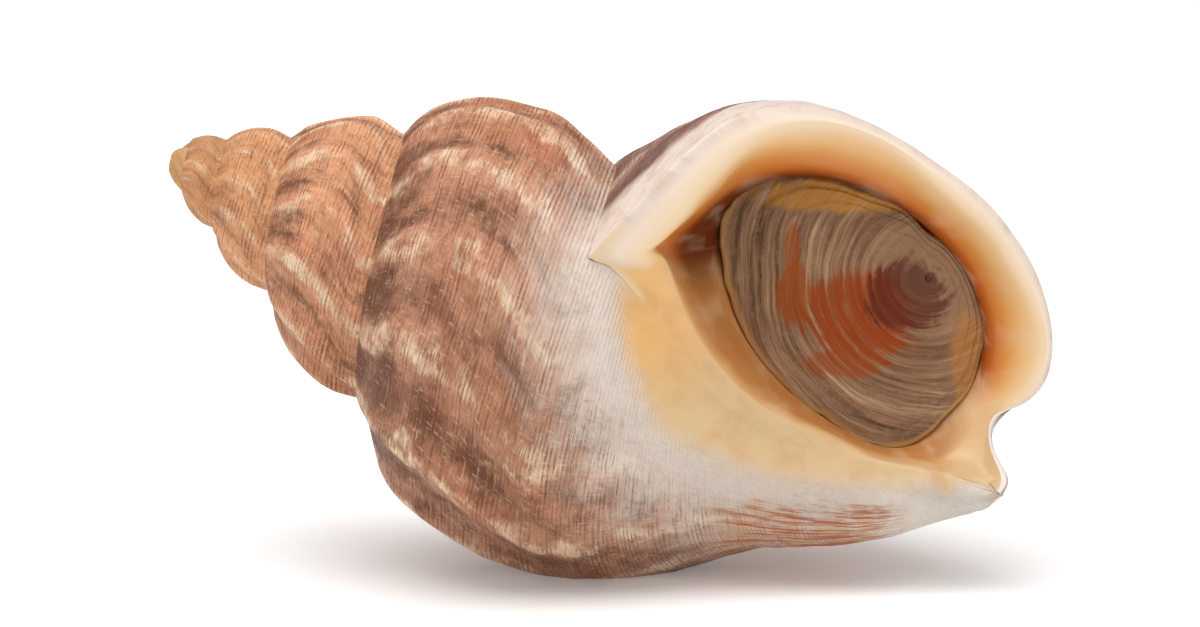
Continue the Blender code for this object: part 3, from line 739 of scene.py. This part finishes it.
def plate_front():
    """The plate's front face as rings from the nucleus out, with each point's share of the way."""
    outline = np.array(OPERCULUM_OUTLINE, float)
    nucleus = np.array(OPERCULUM_NUCLEUS, float)
    count = len(outline)
    around = np.arange(-3, count + 3)
    where = np.arange(PLATE_PLACES) * count / PLATE_PLACES
    edge = spline(around, outline[around % count], where)
    edge += (edge - nucleus) * PLATE_REACH / np.linalg.norm(edge - nucleus, axis=1)[:, None]
    ragged = 1 + 0.012 * cloud(where * 2.3, 0 * where, 51) * np.clip(-cloud(where * 0.9, 0 * where, 52), 0, 1)
    edge = nucleus + (edge - nucleus) * ragged[:, None]
    share = np.linspace(0.02, 1.0, PLATE_RINGS)
    way = share[:, None]
    bow = 1 + 0.035 * cloud(where[None, :] * 0.6, way * 9, 21) * way * (1 - way)
    spot = nucleus + (edge[None] - nucleus) * (way * bow)[..., None]
    rise = np.interp(share, *zip(*PLATE_STEPS))[:, None] + np.zeros(spot.shape[:2])
    size = np.linalg.norm(edge - nucleus, axis=1)[None, :] * share[:, None]
    faded = ease(25, 60, size) * fade(0.97, 1.0, share)[:, None]
    rings = cloud(size / 5.5, where * 0.35 + 0 * size, 31)
    rings += 0.6 * cloud(size / 2.6, where * 0.9 + 0 * size, 32)
    rise += faded * (0.55 * rings + 0.5 * cloud(spot[..., 0] / 26, spot[..., 1] / 26, 33))
    depth = OPERCULUM_DEPTH + rise + OPERCULUM_LEAN * (OPERCULUM_MIDDLE - spot[..., 0])
    return np.concatenate([spot, depth[..., None]], axis=-1), share, size


def build_plate():
    front, share, size = plate_front()
    outward = front[-1] - front[-2]
    outward[:, 2] = 0
    outward *= RIM_REACH / np.linalg.norm(outward, axis=1)[:, None]
    rim = front[-1] + outward - np.array([0, 0, OPERCULUM_EDGE])
    back = front[-6] - np.array([0, 0, OPERCULUM_THICKNESS + 2.5])
    centre = front[0].mean(axis=0)
    grid = np.concatenate([front, rim[None], back[None]])
    count = grid.shape[0]
    index = np.arange(count * PLATE_PLACES).reshape(count, PLATE_PLACES)
    closed = np.concatenate([index, index[:, :1]], axis=1)
    total = count * PLATE_PLACES
    points = np.concatenate([grid.reshape(-1, 3), [centre], [centre - np.array([0, 0, OPERCULUM_THICKNESS])]])
    quads = np.concatenate([quads_of(closed), fan(total, closed[0, ::-1]), fan(total + 1, closed[-1])])
    ring = np.concatenate([share, [1.02, 1.1]])[:, None] + np.zeros(index.shape)
    length = np.concatenate([size, size[-1:], size[-1:]])
    values = {
        "ring": np.append(ring, [0.0, 1.2]),
        "size": np.append(length, [0.0, 0.0]) / 10,
        "front_x": points[:, 0] / 10,
        "front_y": points[:, 1] / 10,
        "way": np.arctan2(points[:, 1] - OPERCULUM_NUCLEUS[1], points[:, 0] - OPERCULUM_NUCLEUS[0]),
    }
    world = inside_box(to_world(points) + SHIFT)
    return make_piece("operculum_plate", world, None, quads, values, "operculum")


# The values at the shell's points that its material reads.
SHELL_VALUES = "turn line girth share fold callus into lip place front_x front_y".split()

# Colours by place along a value, from 0 to 1: the whorls by age, the mouth from the lip inwards on
# its outer and its inner side, and the plate by its bands.
AGE_COLOURS = [
    (0.0, (240, 186, 126)), (0.06, (226, 162, 100)), (0.12, (206, 160, 112)), (0.22, (232, 164, 112)),
    (0.34, (240, 172, 120)), (0.5, (240, 172, 124)), (0.62, (230, 164, 124)), (0.74, (202, 136, 98)),
    (0.84, (200, 148, 120)), (1.0, (190, 146, 124)),
]
# The mouth's darkest stops, far into the throat, are partly the shell's own red-brown and partly painted
# shade of the recess.
OUTER_COLOURS = [
    (0.0, (214, 198, 186)), (0.08, (230, 210, 188)), (0.17, (232, 204, 166)), (0.24, (228, 178, 114)),
    (0.3, (210, 132, 58)), (0.37, (180, 92, 28)), (0.5, (138, 60, 16)), (0.8, (90, 36, 10)),
]
INNER_COLOURS = [
    (0.0, (214, 176, 128)), (0.16, (216, 178, 130)), (0.28, (206, 158, 104)), (0.34, (184, 124, 66)),
    (0.46, (178, 118, 62)), (0.6, (196, 136, 80)), (0.85, (96, 42, 16)),
]
PLATE_COLOURS = [
    (0.34, (72, 50, 36)), (0.44, (126, 92, 66)), (0.54, (154, 118, 88)), (0.68, (196, 160, 122)),
]
# Stains of the plate: middle, half width and height, colour and strength.
BLOTS = [
    ((79.6, 29.4), (1.9, 3.0), (156, 70, 10), 0.8),
    ((79.2, 25.2), (0.8, 3.2), (160, 76, 20), 0.7),
    ((86.0, 31.5), (5.4, 4.8), (150, 60, 2), 1.0),
    ((84.4, 36.2), (4.0, 1.6), (152, 66, 10), 0.8),
    ((90.5, 29.8), (4.2, 3.6), (88, 26, 8), 0.85),
    ((84.0, 19.6), (8.0, 1.7), (200, 136, 50), 0.75),
    ((97.0, 36.0), (2.0, 5.0), (190, 122, 50), 0.6),
]


def rgb(red, green, blue):
    """A linear colour from screen values of 0 to 255."""
    shares = np.array([red, green, blue]) / 255.0
    linear = np.where(shares <= 0.04045, shares / 12.92, ((shares + 0.055) / 1.055) ** 2.4)
    return (*[float(value) for value in linear], 1.0)


class Graph:
    """Shader nodes of one material, made and linked by short calls."""

    def __init__(self, name):
        self.material = bpy.data.materials.new(name)
        self.material.use_nodes = True
        self.tree = self.material.node_tree

    def new(self, kind):
        return self.tree.nodes.new("ShaderNode" + kind)

    def put(self, node, values, output=0):
        """Sets or links sockets of a node, by name or number, and gives back its output."""
        for socket, value in values.items():
            if isinstance(value, bpy.types.NodeSocket):
                self.tree.links.new(value, node.inputs[socket])
            else:
                node.inputs[socket].default_value = value
        return node.outputs[output]

    def read(self, name):
        node = self.new("Attribute")
        node.attribute_name = name
        return node.outputs["Fac"]

    def math(self, kind, *values):
        node = self.new("Math")
        node.operation = kind
        return self.put(node, dict(enumerate(values)))

    def chain(self, kind, values):
        total = values[0]
        for value in values[1:]:
            total = self.math(kind, total, value)
        return total

    def add(self, *values):
        return self.chain("ADD", values)

    def times(self, *values):
        return self.chain("MULTIPLY", values)

    def minus(self, value, less):
        return self.math("SUBTRACT", value, less)

    def larger(self, value, other):
        return self.math("MAXIMUM", value, other)

    def sway(self, noise, size):
        """Noise about its middle, as large as asked."""
        return self.times(self.minus(noise, 0.5), size)

    def length(self, across, down):
        return self.math("SQRT", self.add(self.times(across, across), self.times(down, down)))

    def noise(self, point, detail, rough):
        values = {"Vector": point, "Scale": 1.0, "Detail": detail, "Roughness": rough}
        return self.put(self.new("TexNoise"), values, "Fac")

    def grain(self, first, second, seed, detail=2.0, rough=0.5):
        """Noise over two surface values, each given with how often it turns a unit."""
        point = dict(enumerate((self.times(*first), self.times(*second), seed)))
        return self.noise(self.put(self.new("CombineXYZ"), point), detail, rough)

    def step(self, value, low, high, start=0.0, end=1.0):
        """Smooth passage from start to end as the value goes from low to high."""
        node = self.new("MapRange")
        node.interpolation_type = "SMOOTHSTEP"
        return self.put(node, dict(enumerate((value, low, high, start, end))))

    def ramp(self, value, stops):
        node = self.new("ValToRGB")
        elements = node.color_ramp.elements
        while len(elements) < len(stops):
            elements.new(0.5)
        for element, (place, colour) in zip(elements, stops):
            element.position = place
            element.color = rgb(*colour)
        return self.put(node, {"Fac": value}, "Color")

    def mix(self, share, first, second):
        node = self.new("Mix")
        node.data_type = "RGBA"
        return self.put(node, {"Factor": share, "A": first, "B": second}, "Result")

    def wash(self, colour, shade, value, low, high, most):
        """A shade laid over a colour, from none to its most as the value goes from low to high."""
        return self.mix(self.step(value, low, high, 0.0, most), colour, rgb(*shade))

    def bump(self, height, strength, distance):
        values = {"Strength": strength, "Distance": distance, "Height": height}
        return self.put(self.new("Bump"), values, "Normal")

    def finish(self, colour, roughness, sheen, normal):
        values = {"Base Color": colour, "Specular IOR Level": sheen, "Roughness": roughness, "Normal": normal}
        self.put(self.tree.nodes["Principled BSDF"], values)
        return self.material


def spiral_colour(g, turn, grown, girth, share, fold, y):
    """Ground colours of the outside by age, with patches that lie along the growth lines, and painted shade
    and highlight: darker fold troughs and a darker lower part, lighter fold crests.
    """
    threads = g.grain((turn, 9), (girth, 3.6), 3, 2, 0.6)
    line = g.add(grown, g.sway(threads, 0.024))
    age = g.minus(line, FIRST_TURN)
    base = g.ramp(g.math("DIVIDE", age, 5.1), AGE_COLOURS)
    cloudy = g.grain((line, 13), (girth, 0.1), 0, 3, 0.6)
    brown = g.grain((line, 34), (girth, 0.17), 7, 5, 0.68)
    pale = g.grain((line, 38), (girth, 0.22), 19, 5, 0.68)
    red = g.grain((line, 26), (girth, 0.14), 57, 3, 0.6)
    arcs = g.grain((line, 120), (girth, 0.18), 61, 4, 0.7)
    young = g.add(g.step(age, 1.6, 3.2, -0.06, 0), g.step(age, 0.3, 0.9, -0.2, 0))
    # Painted shade: darker towards the bottom of the front view, as under light from above.
    low = g.step(y, 2.6, 4.6, 0, 0.05)
    left = g.times(g.step(age, 3.6, 4.4), g.step(share, 0.75, 0.1, 0, 0.12))
    # Brown patches and darker bands by the suture and on the left of the last whorl, with painted shade in
    # the fold troughs and on the lower part.
    brown_and_shade = g.add(g.step(share, 0.4, 0, 0, 0.08), g.times(fold, -0.16), brown, young, low, left, 0.02)
    tinted = g.step(cloudy, 0.45, 0.7, 0, 0.5)
    colour = g.mix(g.times(tinted, g.step(age, 0.2, 1.2)), base, rgb(166, 102, 64))
    for shade, value, low, high, most in (
        ((196, 116, 84), red, 0.5, 0.7, 0.5),
        # Painted shade: a darker brown towards the bottom of the front view.
        ((150, 96, 62), y, 2.2, 4.2, 0.38),
        ((92, 50, 32), brown_and_shade, 0.42, 0.72, 0.85),
    ):
        colour = g.wash(colour, shade, value, low, high, most)
    # Pale patches, lighter young whorls, and a painted highlight on the fold crests.
    light = g.add(g.times(fold, 0.22), pale, g.times(young, 0.4))
    colour = g.wash(colour, (248, 220, 186), light, 0.64, 0.84, 0.8)
    colour = g.wash(colour, (236, 196, 156), arcs, 0.54, 0.7, 0.3)
    return g.wash(colour, (104, 64, 46), arcs, 0.46, 0.32, 0.35)


def line_colour(g, colour, turn, line, girth):
    """Fine brown lines that follow the growth spiral, in bunches, and finer ones along the lip."""
    drift = g.times(g.grain((turn, 9), (girth, 0.4), 11), 9)
    comb = g.math("SINE", g.add(g.times(girth, 2 * math.pi / 0.43), drift))
    bunch = g.grain((turn, 20), (girth, 0.8), 5, 4, 0.7)
    thread = g.grain((turn, 22), (girth, 3.4), 41, 4, 0.75)
    grit = g.grain((turn, 260), (girth, 3.4), 43)
    across = g.grain((line, 380), (girth, 0.7), 13, 3, 0.7)
    lines = g.times(g.step(comb, 0, 0.95), g.step(bunch, 0.42, 0.62), g.step(grit, 0.36, 0.52, 0.2, 0.7))
    grown = g.step(turn, FIRST_TURN + 0.3, FIRST_TURN + 2.2, 0.1, 1)
    colour = g.mix(g.times(lines, grown), colour, rgb(98, 52, 28))
    colour = g.mix(g.times(g.step(thread, 0.53, 0.66, 0, 0.55), grown), colour, rgb(100, 56, 32))
    colour = g.wash(colour, (236, 206, 176), thread, 0.44, 0.3, 0.35)
    colour = g.wash(colour, (120, 74, 50), across, 0.56, 0.7, 0.4)
    return g.wash(colour, (238, 210, 180), across, 0.44, 0.3, 0.4)


def outside_colour(g, turn, line, girth, share, fold, callus, place, x, y):
    """Brown whorls that bleach towards the callus and the lip, with streaks below the callus."""
    colour = spiral_colour(g, turn, line, girth, share, fold, y)
    streak = g.grain((turn, 12), (girth, 1.3), 23, 4, 0.65)
    mottle = g.grain((line, 50), (girth, 0.25), 27, 4, 0.65)
    reach = g.add(callus, g.times(streak, -70), g.times(mottle, -100))
    near = g.step(reach, -85, 45, 0.95, 0)
    colour = g.mix(near, colour, rgb(226, 212, 200))
    lined = line_colour(g, colour, turn, line, girth)
    reach = g.times(callus, g.step(g.add(y, g.times(x, -0.3)), 1.6, 2.4, 1, 1.7))
    edge = g.step(turn, BODY_TURN + 0.93, BODY_TURN + 0.96)
    plain = g.larger(g.step(reach, 10, 110, 1, 0), edge)
    colour = g.mix(g.step(plain, 0, 1, 1, 0.08), colour, lined)
    fringe = g.grain((turn, 40), (girth, 0.5), 91, 3)
    strip = g.add(turn, g.sway(fringe, 0.02))
    colour = g.wash(colour, (124, 88, 84), strip, BODY_TURN + 0.86, BODY_TURN + 0.93, 0.45)
    stained = g.grain((turn, 90), (girth, 0.3), 95, 5, 0.7)
    band = g.mix(g.step(stained, 0.45, 0.65, 0, 0.6), rgb(222, 204, 190), rgb(196, 158, 144))
    colour = g.mix(g.step(strip, BODY_TURN + 0.94, BODY_TURN + 0.965, 0, 0.95), colour, band)
    end = g.step(g.add(place, g.times(fringe, 2)), 16.2, 18.2)
    colour = g.mix(end, colour, rgb(240, 228, 216))
    return fasciole_colour(g, colour, line, girth, x, y)


def fasciole_colour(g, colour, line, girth, x, y):
    """White glaze below the callus, then orange-red fingers and yellow stains over the canal."""
    fingers = g.grain((line, 90), (girth, 0.12), 81, 4, 0.7)
    patch = g.grain((x, 3.5), (y, 5), 83, 4, 0.65)
    down = g.add(y, g.times(x, -0.03), g.sway(patch, 0.5))
    low = g.times(g.step(down, 4.72, 4.92), g.step(x, 6.9, 7.5), g.step(x, 9.2, 8.7))
    colour = g.mix(g.times(low, g.step(patch, 0.35, 0.6, 0, 0.5)), colour, rgb(206, 160, 96))
    return g.mix(g.times(low, g.step(fingers, 0.46, 0.58, 0, 0.85)), colour, rgb(180, 84, 52))


def inside_colour(g, into, lip, place, x, y):
    """Cream lip that turns orange and then dark red-brown towards the throat, partly the shell's own colour
    and partly painted shade, with more painted shade on the throat's upper wall.
    """
    cream = g.grain((place, 0.9), (into, 0.8), 2)
    outer = g.ramp(g.math("DIVIDE", into, 6), OUTER_COLOURS)
    inner = g.ramp(g.math("DIVIDE", into, 6), INNER_COLOURS)
    colour = g.mix(lip, inner, outer)
    canal = g.times(g.step(x, 9.2, 9.75), g.step(y, 3.7, 4.15))
    colour = g.mix(g.times(canal, 0.75), colour, rgb(230, 196, 148))
    # Painted shade: the upper wall far into the throat is laid dark brown.
    brown_and_shade = g.times(g.step(into, 2.1, 2.6), g.step(g.add(y, g.times(x, 0.25)), 4.9, 4.1))
    colour = g.mix(g.times(brown_and_shade, 0.8), colour, rgb(96, 42, 12))
    return g.wash(colour, (232, 208, 174), cream, 0.45, 0.75, 0.25)


def callus_colour(g, x, y):
    """Golden at the top, paler below, with faint stains."""
    stain = g.grain((x, 2.2), (y, 2.2), 31, 4, 0.6)
    golden = g.step(g.add(g.times(x, 0.6), y), 7.2, 8.4, 1, 0)
    colour = g.mix(golden, rgb(212, 180, 136), rgb(224, 176, 112))
    return g.wash(colour, (196, 148, 96), stain, 0.42, 0.7, 0.5)


def shell_material():
    g = Graph("whelk_shell")
    turn, line, girth, share, fold, callus, into, lip, place, x, y = (g.read(name) for name in SHELL_VALUES)
    outside = outside_colour(g, turn, line, girth, share, fold, callus, place, x, y)
    fringe = g.grain((x, 6), (y, 6), 71, 3)
    glazed = g.step(g.add(callus, g.times(fringe, 16)), -20, 14, 1, 0)
    outside = g.mix(glazed, outside, callus_colour(g, x, y))
    mouth = g.step(into, 0, 0.5)
    across = g.minus(x, 6.1)
    down = g.minus(y, 2.66)
    away = g.length(across, down)
    corner = g.times(g.step(away, 0.46, 0.26), g.step(into, -0.9, -0.5))
    parietal = g.times(g.step(into, 1.7, 1.1), g.step(lip, 0.4, 0))
    inside = g.mix(parietal, inside_colour(g, into, lip, place, x, y), callus_colour(g, x, y))
    outside = g.mix(corner, outside, rgb(224, 194, 154))
    colour = g.mix(mouth, outside, inside)
    smooth = g.larger(g.larger(mouth, glazed), corner)
    cords = g.math("SINE", g.times(girth, 2 * math.pi / 0.47))
    lines = g.grain((line, 420), (girth, 0.5), 13, 3, 0.7)
    arcs = g.grain((line, 150), (girth, 0.1), 61, 4, 0.7)
    grain = g.grain((turn, 160), (girth, 4), 29, 3)
    height = g.add(g.times(cords, 0.3), g.times(lines, 1.4), g.times(arcs, 2.4), g.times(grain, 1.4))
    band = g.step(turn, BODY_TURN + 0.935, BODY_TURN + 0.965)
    smooth = g.larger(smooth, band)
    rough_share = g.minus(1, smooth)
    normal = g.bump(g.times(height, rough_share), 0.8, 0.00018)
    roughness = g.add(g.times(rough_share, 0.25), g.step(into, 2, 2.6, 0.3, 0.6))
    sheen = g.times(g.step(smooth, 0, 1, 0.18, 0.4), g.step(into, 2, 2.6, 1, 0.3))
    return g.finish(colour, roughness, sheen, normal)


def plate_material():
    g = Graph("horny_plate")
    ring, size, x, y, way = (g.read(name) for name in ("ring", "size", "front_x", "front_y", "way"))
    drift = g.times(g.grain((x, 0.12), (y, 0.12), 5), 1.6)
    bands = g.grain((g.add(size, drift), 1.5), (x, 0.06), g.times(y, 0.06), 6, 0.72)
    fibres = g.grain((x, 1.1), (y, 1.1), 3, 6, 0.75)
    cloudy = g.grain((x, 0.1), (y, 0.1), 13, 3, 0.6)
    near = g.step(size, 7, 4)
    calm = g.add(bands, g.times(near, g.minus(0.5, bands)))
    colour = g.ramp(calm, PLATE_COLOURS)
    colour = g.wash(colour, (160, 130, 100), fibres, 0.46, 0.7, 0.5)
    colour = g.wash(colour, (120, 82, 56), cloudy, 0.45, 0.65, 0.45)
    tattered = g.grain((size, 0.5), (way, 2.2), 17, 5, 0.7)
    edge = g.sway(tattered, 6)
    for (middle_x, middle_y), (wide, high), shade, strength in BLOTS:
        across = g.math("DIVIDE", g.minus(x, middle_x), wide)
        down = g.math("DIVIDE", g.minus(y, middle_y), high)
        apart = g.length(across, down)
        inside = g.step(g.add(apart, g.times(edge, 0.16), g.sway(bands, 1.6)), 1.15, 0.75)
        shown = g.times(inside, strength, g.step(bands, 0.62, 0.42, 0.7, 1))
        colour = g.mix(shown, colour, rgb(*shade))
    for shade, value, low, high, most in (
        ((196, 148, 88), ring, 0.955, 0.99, 0.75),
        ((200, 130, 70), ring, 1, 1.02, 0.8),
        ((98, 62, 44), ring, 0.25, 0.05, 0.7),
    ):
        colour = g.wash(colour, shade, value, low, high, most)
    normal = g.bump(g.add(g.times(calm, 1.2), g.times(fibres, 0.5)), 0.9, 0.0004)
    return g.finish(colour, g.add(0.42, g.times(bands, 0.2)), 0.2, normal)


# Stage: half the floor's width, its colour and glow, the light from all round, and the lamp overhead.
FLOOR_HALF = 6.0
FLOOR_COLOUR = (0.93, 0.93, 0.93, 1.0)
FLOOR_GLOW = 0.13
WHITE = (1.0, 1.0, 1.0, 1.0)
ROOM_LIGHT = 0.62
LAMP_PLACE = (-0.10, -0.14, 0.8)
LAMP_SIZE = (0.9, 0.7)
LAMP_POWER = 6.2
# The camera looks at this place in the front view from this far away, with the photo's width in view.
AIM = (600.0, 313.5, 120.0)
CAMERA_DISTANCE = 1.5
PHOTO_WIDTH = 1200


def lay_floor():
    mesh = bpy.data.meshes.new("floor")
    corners = [(x * FLOOR_HALF, y * FLOOR_HALF, 0) for x, y in ((-1, -1), (1, -1), (1, 1), (-1, 1))]
    mesh.from_pydata(corners, [], [(0, 1, 2, 3)])
    floor = new_object("floor", mesh)
    g = Graph("white_floor")
    values = {"Base Color": FLOOR_COLOUR, "Roughness": 0.9, "Specular IOR Level": 0.0}
    values.update({"Emission Color": WHITE, "Emission Strength": FLOOR_GLOW})
    g.put(g.tree.nodes["Principled BSDF"], values)
    floor.data.materials.append(g.material)


def hang_lamp():
    light = bpy.data.lights.new("key", "AREA")
    light.shape = "RECTANGLE"
    light.size, light.size_y = LAMP_SIZE
    light.energy = LAMP_POWER
    lamp = new_object("key", light)
    lamp.location = LAMP_PLACE
    lamp.rotation_euler = (Vector((0.0, 0.0, 0.02)) - lamp.location).to_track_quat("-Z", "Y").to_euler()


def set_light():
    world = bpy.data.worlds.new("studio")
    bpy.context.scene.world = world
    world.use_nodes = True
    backdrop = world.node_tree.nodes["Background"]
    backdrop.inputs["Color"].default_value = WHITE
    backdrop.inputs["Strength"].default_value = ROOM_LIGHT
    hang_lamp()


def set_camera():
    data = bpy.data.cameras.new("camera")
    data.sensor_width = 36.0
    data.lens = data.sensor_width * CAMERA_DISTANCE / (PHOTO_WIDTH * UNIT)
    data.clip_end = 50.0
    camera = new_object("camera", data)
    aim = to_world(np.array(AIM)) + SHIFT
    away = np.array([0.0, -math.cos(VIEW_TILT), math.sin(VIEW_TILT)])
    camera.location = Vector(aim + away * CAMERA_DISTANCE)
    camera.rotation_euler = (math.pi / 2 - VIEW_TILT, 0.0, 0.0)
    bpy.context.scene.camera = camera


def main():
    set_camera()
    finish = shell_material()
    for piece in build_shell_pieces():
        piece.data.materials.append(finish)
    build_plate().data.materials.append(plate_material())
    lay_floor()
    set_light()
    bpy.context.scene.view_settings.view_transform = "Standard"


main()
